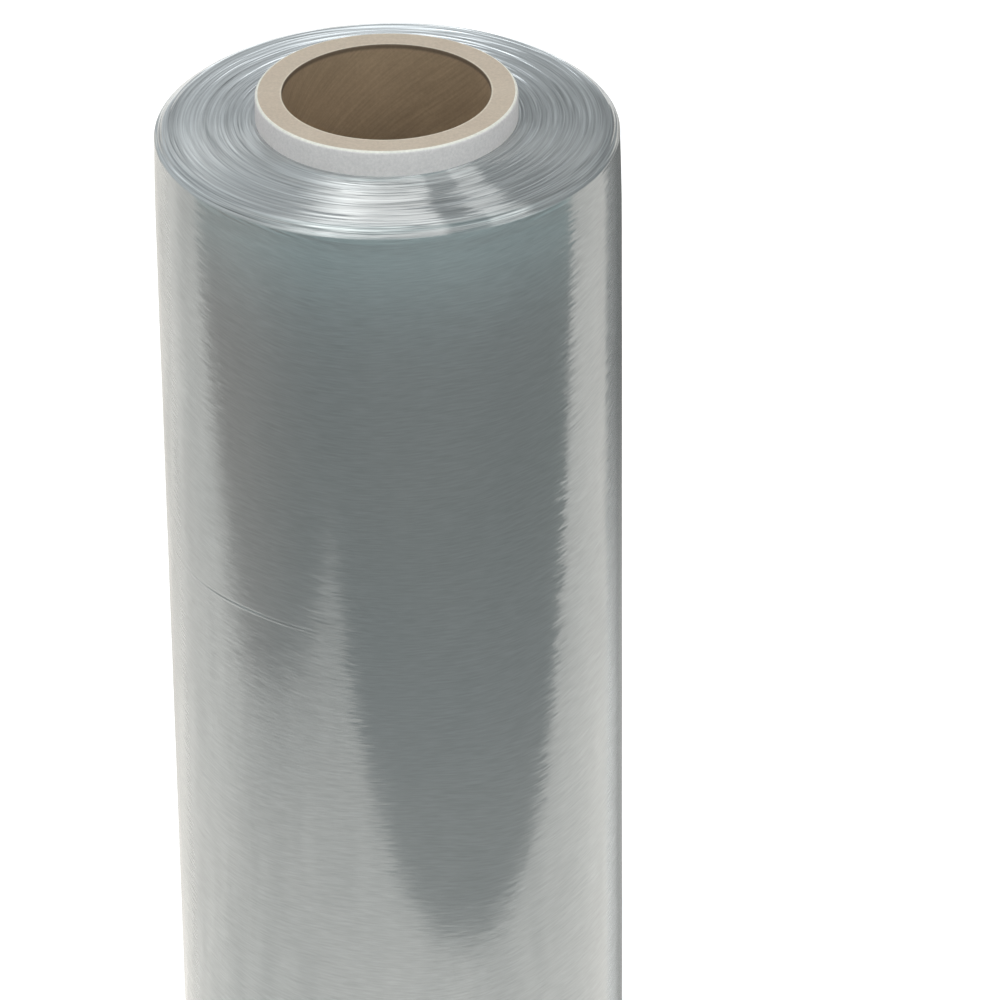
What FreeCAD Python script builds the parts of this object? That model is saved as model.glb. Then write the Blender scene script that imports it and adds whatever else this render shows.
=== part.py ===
import FreeCAD, Part
import math
import os

import Sketcher

# A roll of laundry wrap film: one wide web of clear film, wound tightly on a paper core.
#
# Millimetres, +Z up. The roll stands on the lower end of its core, and the origin is the centre
# of that end. The core runs right through the film and stands proud of it at both ends. The film's
# ends fall a little from the core to the outside, then turn over a rounded shoulder into the side.

# Each size that can be set by itself: its name, its value and what it is.
SIZES = [
    ("film_width", 457.2, "width of the web, and so the height of the wound film along the core"),
    ("film_diameter", 171.4, "outside of the wound film"),
    ("end_fall", 2.6, "how much lower the film's end lies at its outside than at the core"),
    ("draw_in", 0.8, "how much the wound film's radius shrinks towards each end"),
    ("draw_length", 45.0, "height over which that radius shrinks"),
    ("shoulder_radius", 6.8, "rounding between the film's end and its side"),
    ("core_bore", 76.2, "inside diameter of the core"),
    ("core_wall", 9.9, "thickness of the core's paper wall"),
    ("core_overhang", 9.9, "length of core that stands proud of the film at each end"),
    ("rim_radius", 1.2, "rounding of the core's outer rims"),
]

# What follows from those sizes, and is shared by the two pieces.
FORMULAS = [
    ("core_radius", "=core_bore / 2 + core_wall"),
    ("core_length", "=film_width + 2 * core_overhang"),
    ("film_radius", "=film_diameter / 2"),
]

SAME_MM = 1e-4

# A sketch's origin point, and the ends and centre of its curves, as Sketcher numbers them.
ORIGIN = (-1, 1)
START = 1
END = 2
CENTRE = 3


def make_sheet(doc):
    """The spreadsheet that holds every size."""
    sheet = doc.addObject("Spreadsheet::Sheet", "Sizes")
    rows = SIZES + [(alias, formula, "follows from the sizes above") for alias, formula in FORMULAS]
    for number, (alias, content, meaning) in enumerate(rows, start=1):
        sheet.set(f"A{number}", alias)
        sheet.set(f"B{number}", str(content))
        sheet.set(f"C{number}", meaning)
        sheet.setAlias(f"B{number}", alias)
        doc.recompute()
    return sheet


def make_body(doc, name):
    """A sub-part, whose label names its file."""
    body = doc.addObject("PartDesign::Body", name)
    body.Label = name
    body.Placement = FreeCAD.Placement()
    return body


def make_sketch(body, name, role):
    """A sketch on one of the body's own origin planes."""
    sketch = body.newObject("Sketcher::SketchObject", name)
    plane = next(feature for feature in body.Origin.OriginFeatures if feature.Role == role)
    sketch.AttachmentSupport = [(plane, "")]
    sketch.MapMode = "FlatFace"
    return sketch


def hold(sketch, kind, where, size, formula):
    """A dimension of a sketch, bound to the sheet."""
    number = sketch.addConstraint(Sketcher.Constraint(kind, *where, size))
    sketch.setExpression(f"Constraints[{number}]", formula)


def tie(sketch, kind, *where):
    """A constraint with no dimension."""
    sketch.addConstraint(Sketcher.Constraint(kind, *where))


def round_rims(doc, body, name, radius, size, formula):
    """Rounds every circular edge of the body's solid that has this radius, at both ends of the roll."""
    doc.recompute()
    solid = body.Tip
    rims = [
        f"Edge{number}"
        for number, edge in enumerate(solid.Shape.Edges, start=1)
        if isinstance(edge.Curve, Part.Circle) and abs(edge.Curve.Radius - radius) < SAME_MM
    ]
    fillet = body.newObject("PartDesign::Fillet", name)
    fillet.Base = (solid, rims)
    fillet.Radius = size
    fillet.setExpression("Radius", formula)


def core_tube(doc, sizes):
    """The paper tube: a ring the length of the roll, with its outer rims rounded."""
    body = make_body(doc, "core_tube")
    ring = make_sketch(body, "CoreRing", "XY_Plane")
    centre = FreeCAD.Vector()
    up = FreeCAD.Vector(0, 0, 1)
    for radius, formula in (
        (sizes["core_radius"], "Sizes.core_radius"),
        (sizes["core_bore"] / 2, "Sizes.core_bore / 2"),
    ):
        circle = ring.addGeometry(Part.Circle(centre, up, radius), False)
        tie(ring, "Coincident", circle, CENTRE, *ORIGIN)
        hold(ring, "Radius", (circle,), radius, formula)

    wall = body.newObject("PartDesign::Pad", "CoreWall")
    wall.Profile = ring
    wall.Length = sizes["core_length"]
    wall.setExpression("Length", "Sizes.core_length")

    round_rims(doc, body, "CoreRims", sizes["core_radius"], sizes["rim_radius"], "Sizes.rim_radius")
    return body


def film_outline(sketch, sizes):
    """Half of the wound film's section, drawn anticlockwise: x is the radius and y the height.

    Going round it, the curves are the lower end, the lower draw, the side, the upper draw, the
    upper end and the seat on the core. Each draw is an arc that leaves the side without a bend.
    """
    seat = sizes["core_radius"]
    side = sizes["film_radius"]
    brow = side - sizes["draw_in"]
    low = sizes["core_overhang"]
    high = low + sizes["film_width"]
    low_brow = low + sizes["end_fall"]
    high_brow = high - sizes["end_fall"]
    low_side = low_brow + sizes["draw_length"]
    high_side = high_brow - sizes["draw_length"]

    draw_radius = (sizes["draw_length"] ** 2 + sizes["draw_in"] ** 2) / (2 * sizes["draw_in"])
    draw_angle = math.asin(sizes["draw_length"] / draw_radius)

    def line(start, end):
        points = [FreeCAD.Vector(*point, 0) for point in (start, end)]
        return sketch.addGeometry(Part.LineSegment(*points), False)

    def draw(height, start_angle, end_angle):
        middle = FreeCAD.Vector(side - draw_radius, height, 0)
        circle = Part.Circle(middle, FreeCAD.Vector(0, 0, 1), draw_radius)
        return sketch.addGeometry(Part.ArcOfCircle(circle, start_angle, end_angle), False)

    lower_end = line((seat, low), (brow, low_brow))
    lower_draw = draw(low_side, -draw_angle, 0)
    straight = line((side, low_side), (side, high_side))
    upper_draw = draw(high_side, 0, draw_angle)
    upper_end = line((brow, high_brow), (seat, high))
    inside = line((seat, high), (seat, low))

    tie(sketch, "Coincident", lower_end, END, lower_draw, START)
    tie(sketch, "Tangent", lower_draw, END, straight, START)
    tie(sketch, "Tangent", straight, END, upper_draw, START)
    tie(sketch, "Coincident", upper_draw, END, upper_end, START)
    tie(sketch, "Coincident", upper_end, END, inside, START)
    tie(sketch, "Coincident", inside, END, lower_end, START)
    tie(sketch, "Vertical", straight)
    tie(sketch, "Vertical", inside)

    hold(sketch, "DistanceX", (*ORIGIN, inside, END), seat, "Sizes.core_radius")
    hold(sketch, "DistanceX", (*ORIGIN, straight, START), side, "Sizes.film_radius")
    hold(sketch, "DistanceY", (*ORIGIN, inside, END), low, "Sizes.core_overhang")
    hold(sketch, "DistanceY", (inside, END, inside, START), sizes["film_width"], "Sizes.film_width")
    for end_line, first, last in ((lower_end, START, END), (upper_end, START, END)):
        hold(sketch, "DistanceY", (end_line, first, end_line, last), sizes["end_fall"], "Sizes.end_fall")
    for arc, narrow, wide in ((lower_draw, START, END), (upper_draw, END, START)):
        hold(sketch, "DistanceX", (arc, narrow, arc, wide), sizes["draw_in"], "Sizes.draw_in")
        hold(sketch, "DistanceY", (arc, START, arc, END), sizes["draw_length"], "Sizes.draw_length")


def film_roll(doc, sizes):
    """The wound film, all its turns as one solid, seated on the core all the way along."""
    body = make_body(doc, "film_roll")
    section = make_sketch(body, "FilmSection", "XZ_Plane")
    film_outline(section, sizes)

    wound = body.newObject("PartDesign::Revolution", "WoundFilm")
    wound.Profile = section
    wound.ReferenceAxis = (section, ["V_Axis"])
    wound.Angle = 360

    brow = sizes["film_radius"] - sizes["draw_in"]
    round_rims(doc, body, "FilmShoulders", brow, sizes["shoulder_radius"], "Sizes.shoulder_radius")
    return body


def check(doc, bodies):
    """Stops if anything failed to build, or a sketch is left loose."""
    for thing in doc.Objects:
        if {"Invalid", "Error"} & set(thing.State):
            raise RuntimeError(f"{thing.Name} failed: {thing.State}")
        if thing.isDerivedFrom("Sketcher::SketchObject") and not thing.FullyConstrained:
            raise RuntimeError(f"{thing.Name} isn't fully constrained")
    for body in bodies:
        if body.Shape.isNull() or not body.Shape.isValid() or len(body.Shape.Solids) != 1:
            raise RuntimeError(f"{body.Label} isn't one valid solid")


def main():
    doc = FreeCAD.newDocument("LaundryWrapFilmRoll")
    sheet = make_sheet(doc)
    sizes = {alias: float(sheet.get(alias)) for alias, *_ in SIZES + FORMULAS}
    bodies = [core_tube(doc, sizes), film_roll(doc, sizes)]
    doc.recompute()
    check(doc, bodies)

    os.makedirs("parts", exist_ok=True)
    for body in bodies:
        body.Shape.exportStep(f"parts/{body.Label}.step")
        print(f"{body.Label}: {body.Shape.Volume:.1f} mm3")


main()
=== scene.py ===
import math
from collections import namedtuple

import bpy
import numpy as np
from mathutils import Matrix, Vector

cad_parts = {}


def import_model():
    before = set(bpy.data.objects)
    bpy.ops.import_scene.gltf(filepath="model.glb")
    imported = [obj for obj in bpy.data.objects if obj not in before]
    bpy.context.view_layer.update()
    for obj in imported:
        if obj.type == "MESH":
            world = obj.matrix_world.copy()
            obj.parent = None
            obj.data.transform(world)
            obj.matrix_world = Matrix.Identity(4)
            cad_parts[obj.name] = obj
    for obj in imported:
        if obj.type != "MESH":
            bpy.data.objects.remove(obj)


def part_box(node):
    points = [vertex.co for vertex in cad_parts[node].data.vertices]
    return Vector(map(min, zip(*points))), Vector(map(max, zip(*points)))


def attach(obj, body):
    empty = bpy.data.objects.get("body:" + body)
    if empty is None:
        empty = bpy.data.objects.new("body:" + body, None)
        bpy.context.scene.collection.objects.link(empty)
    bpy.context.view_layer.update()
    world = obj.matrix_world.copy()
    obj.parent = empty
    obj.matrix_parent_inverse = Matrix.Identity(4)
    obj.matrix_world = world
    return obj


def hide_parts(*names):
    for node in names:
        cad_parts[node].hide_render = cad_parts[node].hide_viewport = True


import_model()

# A roll of laundry wrap film on its paper core, standing on a pale floor. Metres and radians.
# Both pieces are rings of vertices round the +Z axis, so each is built as one table of points.

MM = 0.001
TURN = 2 * math.pi
FILM_SEED = 20
CORE_SEED = 21

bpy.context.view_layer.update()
film_low, film_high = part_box("film_roll")
core_low, core_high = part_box("core_tube")

# The section of the film and the core, where the boxes don't say it.
CORE_BORE_RADIUS = 38.1 * MM
CORE_RIM = 1.2 * MM
BORE_RIM = 0.35 * MM
FILM_END_FALL = 2.6 * MM
FILM_DRAW_IN = 0.8 * MM
FILM_DRAW_LENGTH = 45.0 * MM
FILM_SHOULDER = 6.8 * MM
# The shoulder tips no further than this, then a tight corner ends it.
EDGE_TILT = math.radians(40)
EDGE_CORNER = 1.0 * MM

CORE_RADIUS = core_high.x
CORE_TOP = core_high.z
FILM_RADIUS = film_high.x
FILM_MIDDLE = (film_low.z + film_high.z) / 2
# Where the end and the side would meet without the shoulder.
BROW_RADIUS = FILM_RADIUS - FILM_DRAW_IN
BROW_HEIGHT = film_high.z - FILM_END_FALL


# ---------------------------------------------------------------- noise and meshes


def value_noise(table, turns, steps):
    """Smooth noise in -1 to 1 from a table whose rows follow steps and whose columns go round once."""
    rows, columns = table.shape
    across = np.asarray(steps) % rows
    around = (np.asarray(turns) % 1.0) * columns
    row, column = np.floor(across).astype(int) % rows, np.floor(around).astype(int) % columns
    up, along = across - np.floor(across), around - np.floor(around)
    up, along = up * up * (3 - 2 * up), along * along * (3 - 2 * along)
    next_row, next_column = (row + 1) % rows, (column + 1) % columns
    low = table[row, column] * (1 - along) + table[row, next_column] * along
    high = table[next_row, column] * (1 - along) + table[next_row, next_column] * along
    return low * (1 - up) + high * up


def noise_table(draws, rows, columns):
    return draws.uniform(-1, 1, (rows, columns))


def bump(distance, width):
    """1 in the middle, falling to nothing over a few widths."""
    return np.exp(-((distance / width) ** 2))


def ring_mesh(name, points, along, attributes):
    """A closed mesh from rings of points: rings by columns by xyz, the last ring joined to the first.

    along places each ring, and the first one again, on the bake map. attributes are numbers for
    each vertex that the material reads.
    """
    rings, columns = points.shape[:2]
    ring, column = np.meshgrid(np.arange(rings), np.arange(columns), indexing="ij")
    next_ring, next_column = (ring + 1) % rings, (column + 1) % columns
    corners = [(ring, column), (next_ring, column), (next_ring, next_column), (ring, next_column)]
    faces = np.stack([r * columns + c for r, c in corners], axis=-1).reshape(-1, 4)

    mesh = bpy.data.meshes.new(name)
    mesh.from_pydata(points.reshape(-1, 3), [], faces)
    mesh.shade_smooth()

    right = (column + 1) / columns
    left = column / columns
    here, there = along[ring], along[ring + 1]
    corner_uv = [(left, here), (left, there), (right, there), (right, here)]
    uv = np.stack([np.stack(pair, axis=-1) for pair in corner_uv], axis=2).reshape(-1, 2)
    layer = mesh.uv_layers.new(name="OFBake")
    layer.uv.foreach_set("vector", uv.astype(np.float32).ravel())
    for label, values in attributes.items():
        attribute = mesh.attributes.new(label, "FLOAT", "POINT")
        attribute.data.foreach_set("value", np.broadcast_to(values, (rings, columns)).ravel())
    piece = bpy.data.objects.new(name, mesh)
    bpy.context.scene.collection.objects.link(piece)
    return piece


def lathe(radii, heights, angles):
    """Rings of points, from radii and heights that have a row for each ring."""
    return np.stack(
        np.broadcast_arrays(radii * np.cos(angles), radii * np.sin(angles), heights), axis=-1
    )


# ---------------------------------------------------------------- wound film

# How many vertices go round, and how many rings lie on an end, on a shoulder's arc, slope and
# corner, and on half of the side. The side's rings spread out by this power.
FILM_COLUMNS = 200
END_RINGS = 184
SHOULDER_RINGS = (24, 12, 8)
SIDE_RINGS = 14
SIDE_SPREAD = 1.7


def film_shoulder(fall, lean):
    """The shoulder's radii, heights and outward directions: an arc, a straight slope and a corner.

    fall is how far the end tips from level, and lean how far the side below tips from upright.
    """
    arc, slope, corner = SHOULDER_RINGS
    inset = FILM_SHOULDER / (1 + math.sin(fall + lean))
    middle_r = BROW_RADIUS - inset * (math.sin(fall) + math.cos(lean))
    middle_z = BROW_HEIGHT - inset * (math.cos(fall) + math.sin(lean))
    edge = math.pi / 2 - EDGE_TILT
    arc_facing = np.linspace(math.pi / 2 - fall, edge, arc)
    corner_facing = np.linspace(edge, lean, corner)

    arc_r = middle_r + FILM_SHOULDER * np.cos(arc_facing)
    arc_z = middle_z + FILM_SHOULDER * np.sin(arc_facing)
    centre_r = middle_r + FILM_SHOULDER * math.cos(lean) - EDGE_CORNER
    reach_out = (centre_r - arc_r[-1]) * math.cos(edge)
    centre_z = arc_z[-1] - (EDGE_CORNER + reach_out) / math.sin(edge)
    corner_r = centre_r + EDGE_CORNER * np.cos(corner_facing)
    corner_z = centre_z + EDGE_CORNER * np.sin(corner_facing)
    share = np.linspace(0, 1, slope + 2)[1:-1]
    slope_r = arc_r[-1] + (corner_r[0] - arc_r[-1]) * share
    slope_z = arc_z[-1] + (corner_z[0] - arc_z[-1]) * share
    return (
        np.concatenate([arc_r, slope_r, corner_r]),
        np.concatenate([arc_z, slope_z, corner_z]),
        np.concatenate([arc_facing, np.full(slope, edge), corner_facing]),
    )


def film_half():
    """Half of the film's section from the core to mid-height, as it is at the upper end.

    Gives each point's radius, height and outward direction, and its distance along the section.
    """
    fall = math.atan2(FILM_END_FALL, BROW_RADIUS - CORE_RADIUS)
    draw_radius = (FILM_DRAW_LENGTH**2 + FILM_DRAW_IN**2) / (2 * FILM_DRAW_IN)
    lean = math.asin(FILM_DRAW_LENGTH / draw_radius)
    shoulder_r, shoulder_z, shoulder_facing = film_shoulder(fall, lean)

    share = np.linspace(0, 1, END_RINGS, endpoint=False)
    end_r = CORE_RADIUS + (shoulder_r[0] - CORE_RADIUS) * share
    end_z = film_high.z + (shoulder_z[0] - film_high.z) * share
    end_facing = np.full(END_RINGS, shoulder_facing[0])

    # The side's rings lie close together below the shoulder and further apart lower down.
    share = np.linspace(0, 1, SIDE_RINGS + 1)[1:] ** SIDE_SPREAD
    side_z = shoulder_z[-1] + (FILM_MIDDLE - shoulder_z[-1]) * share
    above = np.maximum(0, side_z - (BROW_HEIGHT - FILM_DRAW_LENGTH))
    side_r = FILM_RADIUS - draw_radius + np.sqrt(draw_radius**2 - above**2)
    side_facing = np.arcsin(above / draw_radius)

    radii = np.concatenate([end_r, shoulder_r, side_r])
    heights = np.concatenate([end_z, shoulder_z, side_z])
    facing = np.concatenate([end_facing, shoulder_facing, side_facing])
    steps = np.hypot(np.diff(radii), np.diff(heights))
    return radii, heights, facing, np.concatenate([[0], np.cumsum(steps)])


# A layer of relief: its spacing, how many cells go round, its height and how many rows its table
# has. A layer that drifts moves by its whole table in one turn, outwards or inwards, so that its
# lines cross the others at a low angle.
Layer = namedtuple("Layer", "spacing cells height rows drift", defaults=(97, 0))
END_LAYERS = [
    Layer(6.0 * MM, 3, 0.022 * MM),
    Layer(2.8 * MM, 5, 0.026 * MM),
    Layer(1.7 * MM, 7, 0.034 * MM),
    Layer(1.4 * MM, 9, 0.034 * MM, rows=23, drift=1),
    Layer(1.2 * MM, 10, 0.034 * MM, rows=19, drift=-1),
    Layer(0.90 * MM, 9, 0.040 * MM),
    Layer(0.55 * MM, 12, 0.026 * MM),
]
# The shoulder's own relief, how far before its end it is strongest, and how far it reaches.
SHOULDER_LAYERS = [Layer(2.1 * MM, 5, 0.045 * MM), Layer(0.9 * MM, 7, 0.08 * MM)]
SHOULDER_BEFORE = 3.6 * MM
SHOULDER_REACH = 2.6 * MM
# The slight bands of the side.
SIDE_BANDS = Layer(16 * MM, 3, 0.05 * MM, rows=40)
# How far the end's lines wander along the section.
LINE_WANDER = 0.6 * MM
# Single ridges on each end: how many, how far each may wander, and between which values their
# places along the section, widths, heights and reaches lie. The reaches are shares of a turn.
RIDGES = 90
RIDGE_WANDER = 0.35 * MM
RIDGE_PLACES = (0.5 * MM, 43 * MM)
RIDGE_WIDTHS = (0.14 * MM, 0.24 * MM)
RIDGE_HEIGHTS = (-0.04 * MM, 0.07 * MM)
RIDGE_REACHES = (0.05, 0.5)
# The length of section over which the end's relief grows beside the core, and over which it gives
# way to the smooth side.
CORE_FADE = 0.6 * MM
EDGE_FADE = 0.9 * MM
# Where small steps of the web's edges are strongest before the roll's edge, and how far they reach.
STEPS_BEFORE = 2.0 * MM
STEPS_REACH = 2.2 * MM
# The share of the bake map that the seat on the core takes.
SEAT_SHARE = 0.04


def layer_relief(draws, layer, distance, turns):
    """How high a layer stands at these distances along the section and turns round the roll."""
    table = noise_table(draws, layer.rows, layer.cells)
    steps = distance / layer.spacing + layer.drift * layer.rows * turns
    return layer.height * value_noise(table, turns, steps)


def end_relief(draws, distance, turns):
    """How far the film's edges stand out of an end: uneven rings that wander, fade and merge."""
    at = distance + LINE_WANDER * value_noise(noise_table(draws, 1, 5), turns, 0)
    relief = np.zeros(np.broadcast(distance, turns).shape)
    for layer in END_LAYERS:
        relief += layer_relief(draws, layer, at, turns)
    for _ in range(RIDGES):
        centre = draws.uniform(*RIDGE_PLACES)
        width = draws.uniform(*RIDGE_WIDTHS)
        height = draws.uniform(*RIDGE_HEIGHTS)
        start = draws.uniform(0, 1)
        reach = draws.uniform(*RIDGE_REACHES)
        away = np.abs((turns - start + 0.5) % 1.0 - 0.5)
        fade = np.sqrt(np.clip(1 - away / reach, 0, 1))
        wander = RIDGE_WANDER * value_noise(noise_table(draws, 1, 7), turns, 0)
        relief += height * fade * bump(at + wander - centre, width)
    return relief


# A crease on the side: its height, where it lies round the roll, how far it reaches each way, how
# far it falls over that reach, and how steeply it fades out.
CREASE_HEIGHT = 297.9 * MM
CREASE_BEARING = math.radians(-90 - 50)
CREASE_REACH = math.radians(30)
CREASE_FALL = 2.2 * MM
CREASE_FADE = 1.5
# Its two narrow folds: the height of the first, the share of it that each has and how far above the
# crease each lies, and their width.
CREASE_FOLD = 0.075 * MM
CREASE_FOLDS = [(1.0, -0.35 * MM), (-0.7, 0.40 * MM)]
CREASE_WIDTH = 0.28 * MM
# The rings that follow it, as heights above it, and how near to it other rings give way to them.
CREASE_RINGS = np.array([-1.6, -1.1, -0.8, -0.55, -0.3, 0.0, 0.3, 0.55, 0.8, 1.1, 1.6]) * MM
CREASE_CLEAR = 6 * MM


def add_crease(r, z, wound, angles):
    """Puts rings that follow the crease and carry its folds among the film's rings."""
    away = (angles - CREASE_BEARING + math.pi) % TURN - math.pi
    share = np.clip(away / CREASE_REACH, -1, 1)
    path = CREASE_HEIGHT - CREASE_FALL * share * np.abs(share)
    fade = np.clip(CREASE_FADE * (1 - np.abs(away) / CREASE_REACH), 0, 1)
    # The film's rings run downwards, so these do too.
    offsets = CREASE_RINGS[::-1]
    folds = sum(part * bump(offsets - place, CREASE_WIDTH) for part, place in CREASE_FOLDS)
    heights = path[None, :] + offsets[:, None]
    ring_heights = z.mean(axis=1)
    above = (ring_heights > CREASE_HEIGHT + CREASE_CLEAR).sum()
    below = ring_heights < CREASE_HEIGHT - CREASE_CLEAR
    radius = np.interp(heights, ring_heights[::-1], r.mean(axis=1)[::-1])
    radius += CREASE_FOLD * folds[:, None] * fade[None, :]
    crease_wound = wound[above - 1] + ring_heights[above - 1] - CREASE_HEIGHT - offsets
    return (
        np.concatenate([r[:above], radius, r[below]]),
        np.concatenate([z[:above], heights, z[below]]),
        np.concatenate([wound[:above], crease_wound, wound[below]]),
    )


def film_roll():
    """The wound film: two ridged ends, sloping shoulders and a side with slight bands."""
    draws = np.random.default_rng(FILM_SEED)
    radii, heights, facing, distance = film_half()
    around = np.arange(FILM_COLUMNS) / FILM_COLUMNS
    shoulder_end = distance[END_RINGS + sum(SHOULDER_RINGS) - 1]
    on_shoulder = bump(distance - shoulder_end + SHOULDER_BEFORE, SHOULDER_REACH)[:, None]
    keep = np.clip((shoulder_end - distance) / EDGE_FADE, 0, 1)[:, None]
    at_core = np.clip(distance / CORE_FADE, 0, 1)[:, None]

    halves = []
    for _ in range(2):
        relief = end_relief(draws, distance[:, None], around[None, :])
        for layer in SHOULDER_LAYERS:
            relief += layer_relief(draws, layer, distance[:, None], around[None, :]) * on_shoulder
        relief = relief * keep * keep * (3 - 2 * keep) * at_core
        bands = layer_relief(draws, SIDE_BANDS, distance[:, None], around[None, :])
        out = relief + bands * (1 - keep)
        r = radii[:, None] + out * np.cos(facing)[:, None]
        z = heights[:, None] + out * np.sin(facing)[:, None]
        halves.append((r, z))

    (upper_r, upper_z), (lower_r, lower_z) = halves
    # Both halves share the ring at mid-height, so the lower one leaves its own out.
    r = np.concatenate([upper_r, lower_r[-2::-1]])
    z = np.concatenate([upper_z, 2 * FILM_MIDDLE - lower_z[-2::-1]])
    total = 2 * distance[-1]
    wound = np.concatenate([distance, total - distance[-2::-1]])
    angles = around * TURN
    r, z, wound = add_crease(r, z, wound, angles)

    along = np.concatenate([wound / total * (1 - SEAT_SHARE), [1.0]])
    from_end = np.minimum(wound, total - wound)
    on_side = np.clip(1 + (from_end - shoulder_end) / EDGE_FADE, 0, 1)
    at_edge = bump(from_end - shoulder_end + STEPS_BEFORE, STEPS_REACH)
    marks = {"wound": wound[:, None], "on_side": on_side[:, None], "at_edge": at_edge[:, None]}
    piece = ring_mesh("film", lathe(r, z, angles), along, marks)
    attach(piece, "root")
    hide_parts("film_roll")
    return piece


# ---------------------------------------------------------------- paper core

# How many vertices go round, and how many rings lie on half of the bore, on a rim and on a cut face.
CORE_COLUMNS = 200
BORE_RINGS = 150
RIM_RINGS = 6
FACE_RINGS = 17
# How far below the outer rim the outside's rings lie.
OUTSIDE_DROPS = np.array([2, 4, 6, 8, 10, 14, 40, 120]) * MM
# The roughness of the cut faces: its depth, its table and how many rings make one row.
CUT_RELIEF = 0.05 * MM
CUT_TABLE = (61, 40)
CUT_RINGS_PER_ROW = 3.1
SAME = 1e-6


def core_half(half):
    """Half of the core's section, as radii and heights above its middle: the bore, up and outwards."""
    quarter = np.linspace(0, math.pi / 2, RIM_RINGS + 1)[1:]
    face = np.linspace(CORE_BORE_RADIUS + BORE_RIM, CORE_RADIUS - CORE_RIM, FACE_RINGS + 1)[1:]
    runs = [
        (np.full(BORE_RINGS, CORE_BORE_RADIUS), np.linspace(0, half - BORE_RIM, BORE_RINGS)),
        (CORE_BORE_RADIUS + BORE_RIM * (1 - np.cos(quarter)), half - BORE_RIM * (1 - np.sin(quarter))),
        (face, np.full(FACE_RINGS, half)),
        (CORE_RADIUS - CORE_RIM * (1 - np.sin(quarter)), half - CORE_RIM * (1 - np.cos(quarter))),
        (np.full(len(OUTSIDE_DROPS), CORE_RADIUS), half - CORE_RIM - OUTSIDE_DROPS),
    ]
    radii, heights = zip(*runs)
    return np.concatenate(radii), np.concatenate(heights)


def core_tube():
    """The paper core: a bore, two cut faces and an outside with rounded rims."""
    draws = np.random.default_rng(CORE_SEED)
    half = (CORE_TOP - core_low.z) / 2
    middle = (CORE_TOP + core_low.z) / 2
    r, z = core_half(half)
    r = np.concatenate([r, r[:0:-1]])
    z = np.concatenate([middle + z, middle - z[:0:-1]])
    around = np.arange(CORE_COLUMNS) / CORE_COLUMNS

    rows = np.arange(len(r)) / CUT_RINGS_PER_ROW
    rough = value_noise(noise_table(draws, *CUT_TABLE), around[None, :], rows[:, None])
    on_face = (np.abs(np.abs(z - middle) - half) < SAME) & (r > CORE_BORE_RADIUS + BORE_RIM)
    # The relief only sinks into the face, so the core stays within its length.
    sunk = CUT_RELIEF * (1 - rough) * on_face[:, None]
    heights = z[:, None] - np.sign(z - middle)[:, None] * sunk
    steps = np.hypot(np.diff(r, append=r[0]), np.diff(z, append=z[0]))
    along = np.concatenate([[0], np.cumsum(steps)]) / steps.sum()
    piece = ring_mesh("core", lathe(r[:, None], heights, around * TURN), along, {})
    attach(piece, "root")
    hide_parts("core_tube")
    return piece


# ---------------------------------------------------------------- materials

# The colour mix node's sockets, which share their names with its other kinds of value.
MIX_FACTOR = 0
MIX_FIRST = 6
MIX_SECOND = 7
MIX_RESULT = 2


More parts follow.
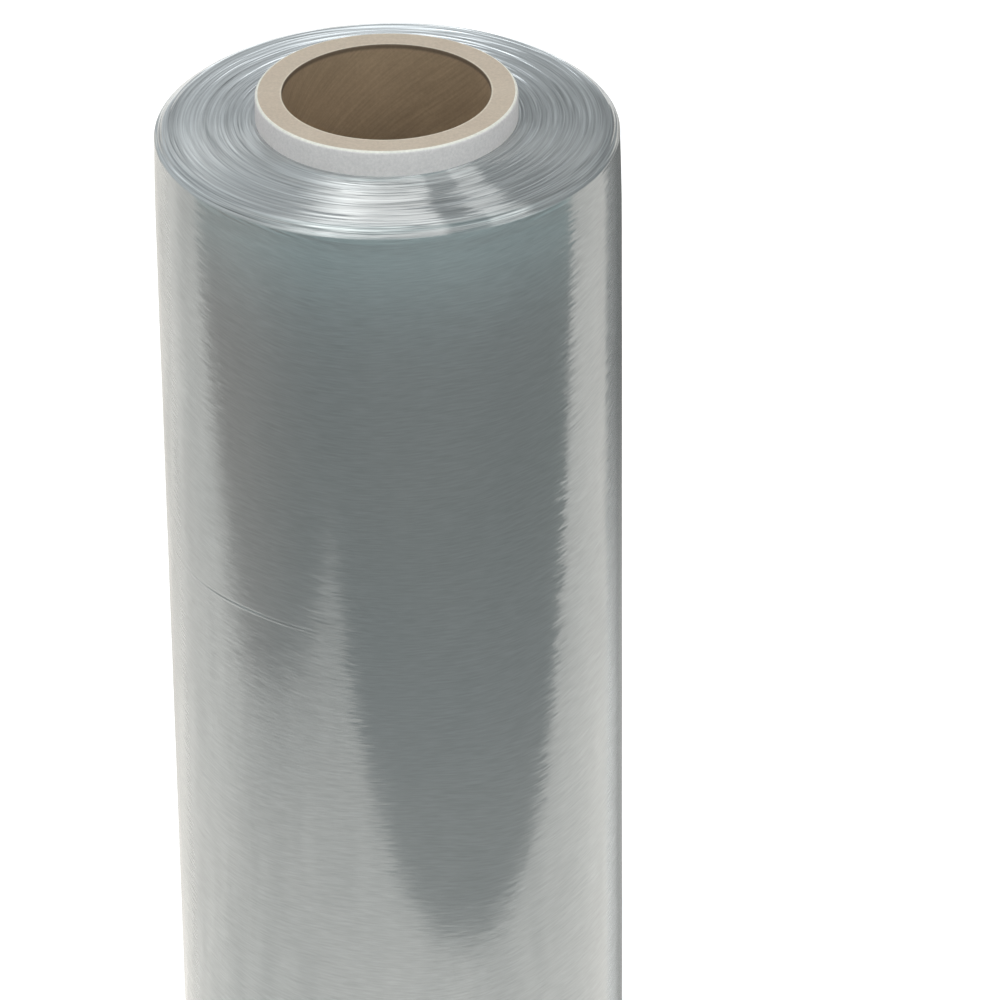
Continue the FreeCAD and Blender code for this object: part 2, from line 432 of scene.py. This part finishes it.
class Nodes:
    """The node tree of a material or a world, with short ways to add and join nodes."""

    def __init__(self, owner):
        owner.use_nodes = True
        self.owner = owner
        self.tree = owner.node_tree
        self.tree.nodes.clear()

    def add(self, kind, settings=(), **inputs):
        node = self.tree.nodes.new(kind)
        for key, value in dict(settings).items():
            setattr(node, key, value)
        for key, value in inputs.items():
            self.put(node.inputs[key.replace("_", " ")], value)
        return node

    def put(self, socket, value):
        if isinstance(value, bpy.types.NodeSocket):
            self.tree.links.new(value, socket)
        elif isinstance(value, tuple) and len(value) == 3 and socket.type == "RGBA":
            socket.default_value = (*value, 1)
        else:
            socket.default_value = value

    def math(self, operation, *values):
        node = self.add("ShaderNodeMath", {"operation": operation})
        for socket, value in zip(node.inputs, values):
            self.put(socket, value)
        return node.outputs[0]

    def plus(self, *values):
        total = values[0]
        for value in values[1:]:
            total = self.math("ADD", total, value)
        return total

    def times(self, *values):
        product = values[0]
        for value in values[1:]:
            product = self.math("MULTIPLY", product, value)
        return product

    def map(self, value, low, high, to_low=0.0, to_high=1.0, smooth=False):
        kind = "SMOOTHSTEP" if smooth else "LINEAR"
        node = self.add("ShaderNodeMapRange", {"interpolation_type": kind})
        for socket, item in zip(node.inputs, (value, low, high, to_low, to_high)):
            self.put(socket, item)
        return node.outputs[0]

    def noise(self, vector, scale, detail=2.0, roughness=0.5):
        node = self.add(
            "ShaderNodeTexNoise", Vector=vector, Scale=scale, Detail=detail, Roughness=roughness
        )
        return node.outputs["Fac"]

    def mix(self, factor, first, second):
        node = self.add("ShaderNodeMix", {"data_type": "RGBA"})
        self.put(node.inputs[MIX_FACTOR], factor)
        self.put(node.inputs[MIX_FIRST], first)
        self.put(node.inputs[MIX_SECOND], second)
        return node.outputs[MIX_RESULT]

    def cross(self, first, second):
        node = self.add("ShaderNodeVectorMath", {"operation": "CROSS_PRODUCT"})
        self.put(node.inputs[0], first)
        self.put(node.inputs[1], second)
        return node.outputs[0]

    def offset(self, start, way, amount):
        """start plus this amount of way, both vectors or colours."""
        node = self.add("ShaderNodeVectorMath", {"operation": "ADD"})
        self.put(node.inputs[0], start)
        self.put(node.inputs[1], self.scale(way, amount))
        return node.outputs[0]

    def scale(self, vector, amount):
        node = self.add("ShaderNodeVectorMath", {"operation": "SCALE"})
        self.put(node.inputs[0], vector)
        self.put(node.inputs["Scale"], amount)
        return node.outputs[0]

    def vector(self, x, y, z):
        node = self.add("ShaderNodeCombineXYZ")
        for socket, value in zip(node.inputs, (x, y, z)):
            self.put(socket, value)
        return node.outputs[0]

    def split(self, vector):
        node = self.add("ShaderNodeSeparateXYZ")
        self.put(node.inputs[0], vector)
        return node.outputs

    def place(self, kind="Object"):
        return self.add("ShaderNodeTexCoord").outputs[kind]

    def mark(self, label):
        """A number that the mesh carries for each vertex."""
        return self.add("ShaderNodeAttribute", {"attribute_name": label}).outputs["Fac"]

    def both(self, first, second):
        """Two shaders added together."""
        node = self.add("ShaderNodeAddShader")
        self.put(node.inputs[0], first)
        self.put(node.inputs[1], second)
        return node.outputs[0]

    def round_axis(self):
        """Where a point lies round +Z, as the x and y of its direction, then its radius and height."""
        x, y, z = self.split(self.place())
        radius = self.math("SQRT", self.plus(self.times(x, x), self.times(y, y)))
        return self.math("DIVIDE", x, radius), self.math("DIVIDE", y, radius), radius, z

    def finish(self, shader):
        is_world = isinstance(self.owner, bpy.types.World)
        kind = "ShaderNodeOutputWorld" if is_world else "ShaderNodeOutputMaterial"
        self.put(self.add(kind).inputs["Surface"], shader)
        return self.owner


# Noise in streaks round the roll: its strength, how many cells it has to a radian and to a metre
# along the section, its detail, its shift in the noise and how strong its finer detail is.
Streaks = namedtuple("Streaks", "strength per_radian per_metre detail shift fine", defaults=(0.6,))
# How far the streaks tip the film's surface: sway round the roll, ripple along the section.
SIDE_SWAY = Streaks(0.20, 12.0, 1550.0, 1.5, 0.0)
END_SWAY = Streaks(0.032, 4.0, 520.0, 3.0, 3.0)
SIDE_RIPPLE = Streaks(0.06, 8.0, 2200.0, 1.5, 50.0)
END_RIPPLE = Streaks(0.8, 1.8, 1050.0, 2.0, 90.0, fine=0.7)
RIM_RIPPLE = Streaks(1.0, 1.6, 950.0, 1.5, 60.0)
# The web's edges also stand in small steps across the roll's edge.
EDGE_STEPS = Streaks(2.1, 1.5, 1500.0, 1.0, 120.0)
# How much the film's colour changes from one line to the next.
SIDE_LINES = Streaks(0.36, 11.0, 1500.0, 1.5, 20.0)
END_LINES = Streaks(1.4, 1.6, 1150.0, 2.5, 30.0)
RIM_LINES = Streaks(1.5, 1.8, 1300.0, 2.0, 40.0)
# How far the side's streaks stray, and dip towards the front, in metres of height for each metre.
STREAK_LEAN = Streaks(0.015, 1.2, 12.0, 0.0, 7.0)
STREAK_DIP = 0.2
# The rim: where it begins and is full, as distances in from the side.
RIM_ZONE = (8.5 * MM, 6.5 * MM)
# How much stronger the ripple is beside the core, and how far from it.
CORE_RIPPLE = 1.2
CORE_RIPPLE_REACH = 4.5 * MM
# What share of the end's ripple and lines is left at the back, where the web's edges lie more
# evenly. The back and the front begin and are full at these y of the direction from the axis.
BACK_SHARE = 0.45
BACK = (0.50, 0.90)
FRONT = (-0.62, -0.80)
# How far the film's edges lean out beside the core at the front, as a slope, and how far from the
# core that begins and is full.
CORE_LEAN = 0.40
CORE_LEAN_ZONE = (11.5 * MM, 1.0 * MM)
# How far they lean out over the whole end, beyond its own fall.
END_LEAN = 0.045
# The film's colour, between two greys in soft clouds, and the least share of it in any line.
FILM_GREYS = ((0.452, 0.475, 0.478), (0.490, 0.502, 0.502))
CLOUDS = (2.0, 12.0)
DARKEST_LINE = 0.3
END_ROUGHNESS = 0.045
SIDE_ROUGHNESS = 0.12
FILM_METALLIC = 0.6


def film_material():
    """Many turns of clear film: grey-teal, glossy in fine streaks that run round the roll."""
    n = Nodes(bpy.data.materials.new("wound_film"))
    x, y, radius, _ = n.round_axis()
    wound = n.mark("wound")
    on_side = n.mark("on_side")
    at_edge = n.mark("at_edge")
    on_end = n.math("SUBTRACT", 1.0, on_side)
    near_core = n.map(radius, CORE_RADIUS + CORE_RIPPLE_REACH, CORE_RADIUS, smooth=True)
    beside_core = n.map(radius, *(CORE_RADIUS + reach for reach in CORE_LEAN_ZONE))
    near_rim = n.times(on_end, n.map(radius, *(FILM_RADIUS - reach for reach in RIM_ZONE)))
    in_front = n.map(y, *FRONT, smooth=True)
    at_back = n.map(y, *BACK, 1.0, BACK_SHARE, smooth=True)

    def streaks(kind, along, *shares):
        """These streaks, less where the shares are less than 1."""
        step = n.math("MULTIPLY_ADD", along, kind.per_metre, kind.shift)
        place = n.vector(n.times(x, kind.per_radian), n.times(y, kind.per_radian), step)
        noise = n.noise(place, 1.0, kind.detail, kind.fine)
        return n.times(n.math("SUBTRACT", noise, 0.5), *shares, kind.strength)

    # The side's streaks dip towards the front and lean a little one way or the other.
    dip = n.plus(n.times(y, radius, STREAK_DIP), streaks(STREAK_LEAN, wound))
    along = n.plus(wound, n.times(dip, on_side))
    across = n.plus(streaks(SIDE_SWAY, along, on_side), streaks(END_SWAY, wound, on_end))
    stronger = n.map(near_core, 0.0, 1.0, 1.0, 1.0 + CORE_RIPPLE)
    down = n.plus(
        streaks(SIDE_RIPPLE, along, on_side),
        streaks(END_RIPPLE, wound, stronger, on_end, at_back),
        n.times(beside_core, in_front, -CORE_LEAN),
        n.times(on_end, -END_LEAN),
        streaks(RIM_RIPPLE, wound, near_rim),
        streaks(EDGE_STEPS, along, at_edge),
    )

    outward = n.add("ShaderNodeNewGeometry").outputs["Normal"]
    round_way = n.vector(n.times(y, -1.0), x, 0.0)
    section_way = n.cross(outward, round_way)
    tipped = n.offset(n.offset(outward, round_way, across), section_way, down)

    round_clouds, wound_clouds = CLOUDS
    cloud_place = n.vector(n.times(x, round_clouds), n.times(y, round_clouds), n.times(wound, wound_clouds))
    grey = n.mix(n.noise(cloud_place, 1.0, 3.0), *FILM_GREYS)
    lines = n.plus(
        streaks(SIDE_LINES, along, on_side),
        streaks(END_LINES, wound, on_end, at_back),
        streaks(RIM_LINES, wound, near_rim),
    )
    tint = n.scale(grey, n.math("MAXIMUM", n.plus(lines, 1.0), DARKEST_LINE))
    roughness = n.map(on_side, 0.0, 1.0, END_ROUGHNESS, SIDE_ROUGHNESS)
    shader = n.add(
        "ShaderNodeBsdfPrincipled",
        Base_Color=tint,
        Metallic=FILM_METALLIC,
        Roughness=roughness,
        Normal=tipped,
    )
    return n.finish(shader.outputs[0])


# Most of a noise's values lie between these.
NOISE_SPAN = (0.3, 0.7)
# Each colour of the core's board lies between two tones.
BORE_BROWNS = ((0.305, 0.212, 0.130), (0.390, 0.275, 0.172))
CUT_BEIGES = ((0.490, 0.392, 0.305), (0.575, 0.480, 0.385))
OUTER_PALES = ((0.715, 0.667, 0.658), (0.762, 0.710, 0.701))
# A painted shadow: the dark brown at the top of the bore, just below its cut face.
PAINTED_BORE_SHADE = (0.150, 0.105, 0.070)
# A painted highlight: the paler beige along the cut face's inner edge, beside the bore.
PAINTED_CUT_HIGHLIGHT = (0.66, 0.58, 0.47)
LINER = (0.80, 0.775, 0.70)
# Where each colour begins and is full: below the core's top, out from the bore, and in from the
# outside.
PAINTED_BORE_SHADE_ZONE = (2.2 * MM, 1.2 * MM)
CUT_ZONE = (0.1 * MM, 0.4 * MM)
PAINTED_CUT_HIGHLIGHT_ZONE = (0.9 * MM, 0.6 * MM)
LINER_ZONE = (1.15 * MM, 0.95 * MM)
OUTER_ZONE = (0.25 * MM, 0.15 * MM)
# How far the core's plies turn round it for each metre of height, in radians.
PLY_TWIST = 30.0
# How much darker and paler the ply lines and the fibres make the board.
PLY_SHADES = (0.86, 1.12)
FIBRE_SHADES = (0.90, 1.08)
FIBRE_RELIEF = 0.08 * MM
BOARD_ROUGHNESS = 0.75


def core_material():
    """Paper board: brown plies in the bore, beige where it is cut and a pale outer ply."""
    n = Nodes(bpy.data.materials.new("core_board"))
    x, y, radius, height = n.round_axis()

    def out_from_bore(zone):
        return n.map(radius, *(CORE_BORE_RADIUS + reach for reach in zone))

    def in_from_outside(zone):
        return n.map(radius, *(CORE_RADIUS - reach for reach in zone))

    mottle = n.noise(n.vector(x, y, n.times(height, 20.0)), 3.0, 4.0)
    fibre = n.noise(n.place(), 900.0, 4.0, 0.65)
    # The bore's plies wind up it as a helix, and their fibres show as slanting lines.
    twist = n.times(height, PLY_TWIST)
    cosine, sine = n.math("COSINE", twist), n.math("SINE", twist)
    ply_x = n.math("SUBTRACT", n.times(x, cosine), n.times(y, sine))
    ply_y = n.plus(n.times(x, sine), n.times(y, cosine))
    ply = n.noise(n.vector(ply_x, ply_y, n.times(height, 3.0)), 26.0, 3.0, 0.6)

    bore = n.scale(n.mix(mottle, *BORE_BROWNS), n.map(ply, *NOISE_SPAN, *PLY_SHADES))
    # Painted shade darkens the top of the bore, just below the cut face.
    bore = n.mix(n.map(height, *(CORE_TOP - drop for drop in PAINTED_BORE_SHADE_ZONE)), bore, PAINTED_BORE_SHADE)
    # The cut face is paler beside the bore: a painted highlight along its inner edge.
    cut = n.mix(out_from_bore(PAINTED_CUT_HIGHLIGHT_ZONE), n.mix(mottle, *CUT_BEIGES), PAINTED_CUT_HIGHLIGHT)
    outer = n.mix(mottle, *OUTER_PALES)
    colour = n.mix(out_from_bore(CUT_ZONE), bore, cut)
    colour = n.mix(in_from_outside(LINER_ZONE), colour, LINER)
    colour = n.mix(in_from_outside(OUTER_ZONE), colour, outer)
    shaded = n.scale(colour, n.map(fibre, *NOISE_SPAN, *FIBRE_SHADES))
    relief = n.add("ShaderNodeBump", Strength=0.6, Distance=FIBRE_RELIEF, Height=fibre)
    shader = n.add(
        "ShaderNodeBsdfPrincipled",
        Base_Color=shaded,
        Roughness=BOARD_ROUGHNESS,
        Normal=relief.outputs[0],
    )
    return n.finish(shader.outputs[0])


# ---------------------------------------------------------------- stage

FLOOR_HALF = 20.0
FLOOR_CORNERS = ((-1, -1), (1, -1), (1, 1), (-1, 1))
FLOOR_PAINT = (0.80, 0.80, 0.80)
FLOOR_GLOW = (1.0, 0.99, 0.985)
WHITE = (1.0, 1.0, 1.0)


def flat_mesh(name, height):
    """A wide flat stage piece at this height."""
    mesh = bpy.data.meshes.new(name)
    corners = [(x * FLOOR_HALF, y * FLOOR_HALF, height) for x, y in FLOOR_CORNERS]
    mesh.from_pydata(corners, [], [range(4)])
    piece = bpy.data.objects.new(name, mesh)
    bpy.context.scene.collection.objects.link(piece)
    return piece


def floor_polar(n):
    """A floor point's x and y, its reach from the roll, and its bearing: 0 in front, right positive."""
    x, y, _ = n.split(n.place())
    reach = n.math("SQRT", n.plus(n.times(x, x), n.times(y, y)))
    return x, y, reach, n.math("ARCTAN2", x, n.times(y, -1.0))


def floor():
    """A wide white floor, which keeps the roll's shadow and grows into a white background."""
    n = Nodes(bpy.data.materials.new("white_floor"))
    path = n.add("ShaderNodeLightPath").outputs
    seen = n.math("MAXIMUM", path["Is Camera Ray"], path["Is Glossy Ray"])
    seen = n.math("MAXIMUM", seen, path["Is Transmission Ray"])
    paint = n.add("ShaderNodeBsdfDiffuse", Color=FLOOR_PAINT)
    _, _, reach, _ = floor_polar(n)
    strength = n.times(seen, n.map(reach, 0.3, 2.5, 0.60, 1.0))
    glow = n.add("ShaderNodeEmission", Color=FLOOR_GLOW, Strength=strength)
    piece = flat_mesh("floor", core_low.z)
    piece.data.materials.append(n.finish(n.both(paint.outputs[0], glow.outputs[0])))


# The white table top that the roll's side mirrors. Each edge is a point on it, the way that it
# faces in degrees and how soft it is. Both its sides bend outwards.
TABLE_RIGHT = [
    ((0.0, -0.373), 121.5, 0.012),
    ((0.43, -0.109), 116.7, 0.018),
    ((0.893, 0.11), 92.3, 0.05),
]
TABLE_LEFT = [
    ((-0.372, -0.42), 17.6, 0.03),
    ((-0.493, -0.130), 23.2, 0.03),
    ((-0.662, 0.018), 50.0, 0.10),
    ((-0.873, 0.218), 76.0, 0.10),
]
TABLE_WHITE = (1.015, 0.98, 0.92)
# How bright the table top is at the roll and how much it dims for each metre away. Both change
# between two bearings, in degrees, by an amount.
TABLE_LEVEL = 1.36
LEVEL_SWINGS = [
    (-62, -98, -0.24), (-112, -132, -0.10), (-132, -155, -0.12), (60, 105, -0.14), (-161, -171, 0.12),
]
TABLE_DIMMING = 1.6
DIMMING_SWINGS = [(-60, -98, -1.25), (-115, -130, -0.35), (50, 112, -1.2)]
# How much brighter it is close to the roll at its sides, and between which reaches that ends.
BESIDE_LEVEL = 0.14
BESIDE_ZONE = (0.30, 0.55)
# How its grain, so many cells to a radian and to a metre, changes it.
GRAIN_CELLS = (14.0, 9.0)
GRAIN_SHADES = (0.88, 1.12)
# Round the table it is dark, with a paler teal further out. Each colour has its reach in metres.
DARK_REACH = 2.0
DARK_COLOURS = [
    (0.40, (0.22, 0.22, 0.205)),
    (0.50, (0.115, 0.12, 0.115)),
    (0.66, (0.05, 0.055, 0.045)),
    (0.82, (0.035, 0.035, 0.03)),
    (1.08, (0.25, 0.365, 0.37)),
    (1.60, (0.25, 0.365, 0.37)),
]
# What the dark gains at the left and at the right, and between which bearings.
DARK_GAINS = [((0.215, 0.175, 0.155), -28, -95), ((0.05, 0.06, 0.055), 60, 100)]
# Where the floor's dark part behind the roll begins, at its right.
DARK_EDGE = ((0.300, 0.184), 134.6, 0.004)
BESIDE_WHITE = (1.0, 1.0, 0.97)
FAR_WHITE = (1.1, 1.1, 1.08)


def gloss_card():
    """A card over the floor that only the film's gloss shows: a white table top, dim round it."""
    piece = flat_mesh("gloss_card", core_low.z + 1 * MM)
    piece.visible_camera = False
    piece.visible_diffuse = False
    piece.visible_shadow = False
    piece.visible_transmission = False

    n = Nodes(bpy.data.materials.new("gloss_card"))
    x, y, reach, bearing = floor_polar(n)
    turned = n.math("ABSOLUTE", bearing)

    def beyond(point, turn):
        """How far beyond the line through point, whose far side faces turn degrees from +X."""
        way = math.radians(turn)
        side_x = n.times(n.math("SUBTRACT", x, point[0]), math.cos(way))
        side_y = n.times(n.math("SUBTRACT", y, point[1]), math.sin(way))
        return n.plus(side_x, side_y)

    def past(point, turn, soft):
        """0 to 1 across that line."""
        return n.map(beyond(point, turn), -soft, soft, smooth=True)

    def swing(start, stop, amount=1.0):
        """A smooth change from 0 to an amount between two bearings in degrees."""
        return n.map(bearing, math.radians(start), math.radians(stop), 0.0, amount, smooth=True)

    def inside(edges):
        """0 to 1 within any of the edges."""
        share = past(*edges[0])
        for edge in edges[1:]:
            share = n.math("MAXIMUM", share, past(*edge))
        return share

    # The table top is dimmer further out, most of all in front of the roll.
    dimming = n.plus(TABLE_DIMMING, *[swing(*change) for change in DIMMING_SWINGS])
    level = n.plus(TABLE_LEVEL, *[swing(*change) for change in LEVEL_SWINGS])
    level = n.math("SUBTRACT", level, n.times(dimming, n.map(reach, 0.0, 1.0)))
    # Close to the roll at its sides it is brighter again.
    beside = n.times(n.map(turned, 1.3, 1.9), n.map(turned, 2.35, 2.7, 1.0, 0.0))
    level = n.plus(level, n.times(n.map(reach, *BESIDE_ZONE, BESIDE_LEVEL, 0.0), beside))
    round_cells, outward_cells = GRAIN_CELLS
    grain = n.noise(n.vector(n.times(bearing, round_cells), n.times(reach, outward_cells), 0.0), 1.0)
    level = n.times(level, n.map(grain, *NOISE_SPAN, *GRAIN_SHADES))
    white = n.scale(n.vector(*TABLE_WHITE), level)

    ramp = n.add("ShaderNodeValToRGB")
    n.put(ramp.inputs[0], n.map(reach, 0.0, DARK_REACH))
    for _ in DARK_COLOURS[2:]:
        ramp.color_ramp.elements.new(0.5)
    for element, (place, colour) in zip(ramp.color_ramp.elements, DARK_COLOURS):
        element.position = place / DARK_REACH
        element.color = (*colour, 1)
    dark = ramp.outputs[0]
    for gain, start, stop in DARK_GAINS:
        dark = n.offset(dark, n.vector(*gain), swing(start, stop))
    table = n.times(inside(TABLE_RIGHT), inside(TABLE_LEFT))
    shown = n.mix(table, dark, white)

    # Behind the roll to the right it is dark far out, and paler close to and beside the edge.
    behind_right = n.times(past(*DARK_EDGE), swing(60, 90), swing(176, 164), n.map(reach, 2.0, 1.2))
    shade = n.map(reach, 0.36, 0.72, 0.70, 0.23, smooth=True)
    turned_past = n.math("DIVIDE", beyond(*DARK_EDGE[:2]), reach)
    shade = n.times(shade, n.map(turned_past, 0.04, 0.34, 1.6, 0.62))
    shown = n.mix(behind_right, shown, n.scale(n.vector(*BESIDE_WHITE), shade))

    # Far out the floor is white behind the roll.
    far_behind = n.times(n.map(reach, 1.2, 2.0), n.map(turned, 2.60, 2.85))
    shown = n.mix(far_behind, shown, FAR_WHITE)
    glow = n.add("ShaderNodeEmission", Color=shown)
    piece.data.materials.append(n.finish(glow.outputs[0]))


# How far the viewer's line of sight comes down, and how far away the glints lie.
VIEW_RISE = math.radians(27)
GLINT_DISTANCE = 8.0
GLINT_COLUMNS = 48
GLINT_ROWS = 88
GLINT_COLOUR = (1.0, 0.985, 0.96)
# How bright a glint is at each tilt in degrees: even where the film's end is nearly flat, and in
# stripes where it is steep.
STRIPES = [
    (1.5, 0), (5.0, 1), (13.5, 1), (19, 0.5), (25, 1.1), (32, 0.1), (39, 1.15), (48, 0.1), (57, 1.3), (66, 0),
]
FAR = [(0.5, 0.3), (3, 1), (22, 1), (30, 0)]
STEEP = [(18, 0), (23, 1), (34, 1), (42, 0)]
# Each glint's name, how bright it is for edges that face each turn from the front, in degrees, and
# its brightness at each tilt.
GLINTS = [
    (
        "glint_front",
        [(-34, 0), (-28, 0.35), (-21, 1.3), (-15, 1.9), (-9, 1.7), (-2, 1.35), (13.5, 1.3), (16, 0)],
        STRIPES,
    ),
    ("glint_right", [(25, 0), (27, 0.85), (36, 0.85), (39.5, 0)], STRIPES),
    ("glint_steep", [(10, 0), (16, 0.42), (26, 0.42), (34, 0.2), (60, 0.15), (72, 0)], STEEP),
    ("glint_far_left", [(-92, 0), (-78, 0.33), (-69, 0.33), (-53, 0)], FAR),
    ("glint_far_right", [(53, 0), (64, 0.2), (74, 0.16), (86, 0)], FAR),
]


def glint_card(name, profile, tilts):
    """A card that shows in the film's end to a viewer in front, and lights nothing else.

    It lies where the film's edges mirror it if they tilt outwards between these angles. profile
    is how bright it is for each turn from the front, and tilts for each tilt.
    """
    toward = Vector((0, -math.cos(VIEW_RISE), math.sin(VIEW_RISE)))
    top = Vector((0, 0, film_high.z))
    turns, levels = zip(*profile)
    steps, shares = zip(*tilts)
    points, strengths = [], []
    for tilt in np.linspace(steps[0], steps[-1], GLINT_ROWS + 1):
        slope = math.radians(tilt)
        for turn in np.linspace(turns[0], turns[-1], GLINT_COLUMNS + 1):
            side, front = math.sin(math.radians(turn)), -math.cos(math.radians(turn))
            facing = Vector((math.sin(slope) * side, math.sin(slope) * front, math.cos(slope)))
            points.append(top + (2 * facing.dot(toward) * facing - toward) * GLINT_DISTANCE)
            strengths.append(np.interp(turn, turns, levels) * np.interp(tilt, steps, shares))
    row = GLINT_COLUMNS + 1
    corners = [down * row + across for down in range(GLINT_ROWS) for across in range(GLINT_COLUMNS)]
    faces = [(a, a + 1, a + row + 1, a + row) for a in corners]
    mesh = bpy.data.meshes.new(name)
    mesh.from_pydata(points, [], faces)
    mesh.attributes.new("glow", "FLOAT", "POINT").data.foreach_set("value", strengths)
    card = bpy.data.objects.new(name, mesh)
    bpy.context.scene.collection.objects.link(card)
    card.visible_camera = False
    card.visible_diffuse = False
    card.visible_shadow = False
    n = Nodes(bpy.data.materials.new(name))
    glow = n.add("ShaderNodeEmission", Color=GLINT_COLOUR, Strength=n.mark("glow"))
    clear = n.add("ShaderNodeBsdfTransparent")
    mesh.materials.append(n.finish(n.both(clear.outputs[0], glow.outputs[0])))


# The soft lights: each one's name, place, aim, side and radiance. Radiance 1 looks white.
SOFTBOXES = [
    ("key", (-1.2, -1.6, 2.3), (0, 0, 0.35), 1.6, 2.8),
    ("fill", (1.5, -1.4, 2.1), (0, 0, 0.35), 1.6, 3.2),
    ("top", (0.0, 0.2, 2.6), (0, 0, 0.4), 1.4, 1.8),
]


def softbox(name, place, aim, side, radiance):
    """A soft square light, which neither the camera nor gloss shows."""
    light = bpy.data.lights.new(name, "AREA")
    light.shape = "SQUARE"
    light.size = side
    light.energy = radiance * side * side * math.pi
    lamp = bpy.data.objects.new(name, light)
    lamp.location = place
    lamp.rotation_euler = (Vector(aim) - Vector(place)).to_track_quat("-Z", "Y").to_euler()
    lamp.visible_camera = False
    lamp.visible_glossy = False
    bpy.context.scene.collection.objects.link(lamp)


# The world's colours: behind the roll, to its left and right, and in front of it.
SKY_BEHIND = (0.95, 1.0, 1.04)
SKY_LEFT = (0.66, 0.68, 0.68)
SKY_RIGHT = (0.40, 0.44, 0.45)
SKY_FRONT = (0.20, 0.30, 0.31)
SKY_LEVEL = 0.40


def world():
    """White low down behind the roll, a soft grey above and to the sides, and dim teal in front.

    That is what the film mirrors. The camera sees plain white, as it does on the floor.
    """
    n = Nodes(bpy.data.worlds.new("studio"))
    x, y, z = n.split(n.place("Generated"))
    side = n.math("ABSOLUTE", x)
    # The white gives way to grey upwards and, sooner, to the sides, and is brightest low down.
    away = n.plus(z, n.times(side, 1.7))
    low = n.plus(n.map(away, 0.25, 0.44, 0.75, 0.0, smooth=True), n.map(away, 0.44, 0.62, 0.25, 0.0))
    deep = n.times(n.map(z, 0.24, 0.12, 0.0, 1.0), n.map(x, 0.0, 0.05, 0.7, 1.5))
    bright = n.times(low, n.plus(deep, 1.0))
    # The grey is paler on the left, and a little darker high up.
    high = n.math("SUBTRACT", 1.0, low)
    lean = n.times(high, n.map(x, -0.125, -0.008, 0.20, -0.17, smooth=True))
    top = n.map(z, 0.46, 0.60, 0.0, -0.05, smooth=True)
    behind = n.scale(n.vector(*SKY_BEHIND), n.plus(SKY_LEVEL, bright, lean, top))
    at_side = n.map(side, 0.4, 0.8, smooth=True)
    front = n.mix(at_side, SKY_FRONT, n.mix(n.map(x, -0.2, 0.2), SKY_LEFT, SKY_RIGHT))
    sky = n.mix(n.map(y, -0.2, 0.3, smooth=True), front, behind)
    path = n.add("ShaderNodeLightPath").outputs
    seen = n.math("MAXIMUM", path["Is Camera Ray"], path["Is Transmission Ray"])
    sky = n.mix(seen, sky, WHITE)
    bpy.context.scene.world = n.finish(n.add("ShaderNodeBackground", Color=sky).outputs[0])


# The camera stands above and in front of the roll, with a long lens in millimetres.
LENS = 249.8
SENSOR = 36
CAMERA_BACK = 2.25435
CAMERA_RISE = 1.14635
CAMERA_YAW = math.radians(-1.011)
CAMERA_PITCH = math.radians(90 - 30.338)
CAMERA_ROLL = math.radians(-0.597)


def camera():
    lens = bpy.data.cameras.new("camera")
    lens.lens = LENS
    lens.sensor_width = SENSOR
    eye = bpy.data.objects.new("camera", lens)
    bpy.context.scene.collection.objects.link(eye)
    place = Matrix.Translation((0, -CAMERA_BACK, CORE_TOP + CAMERA_RISE))
    yaw = Matrix.Rotation(CAMERA_YAW, 4, "Z")
    pitch = Matrix.Rotation(CAMERA_PITCH, 4, "X")
    roll = Matrix.Rotation(CAMERA_ROLL, 4, "Z")
    eye.matrix_world = place @ yaw @ pitch @ roll
    bpy.context.scene.camera = eye


film = film_roll()
film.data.materials.append(film_material())
core = core_tube()
core.data.materials.append(core_material())
floor()
gloss_card()
for glint in GLINTS:
    glint_card(*glint)
for light in SOFTBOXES:
    softbox(*light)
world()
camera()
bpy.context.scene.view_settings.view_transform = "Standard"
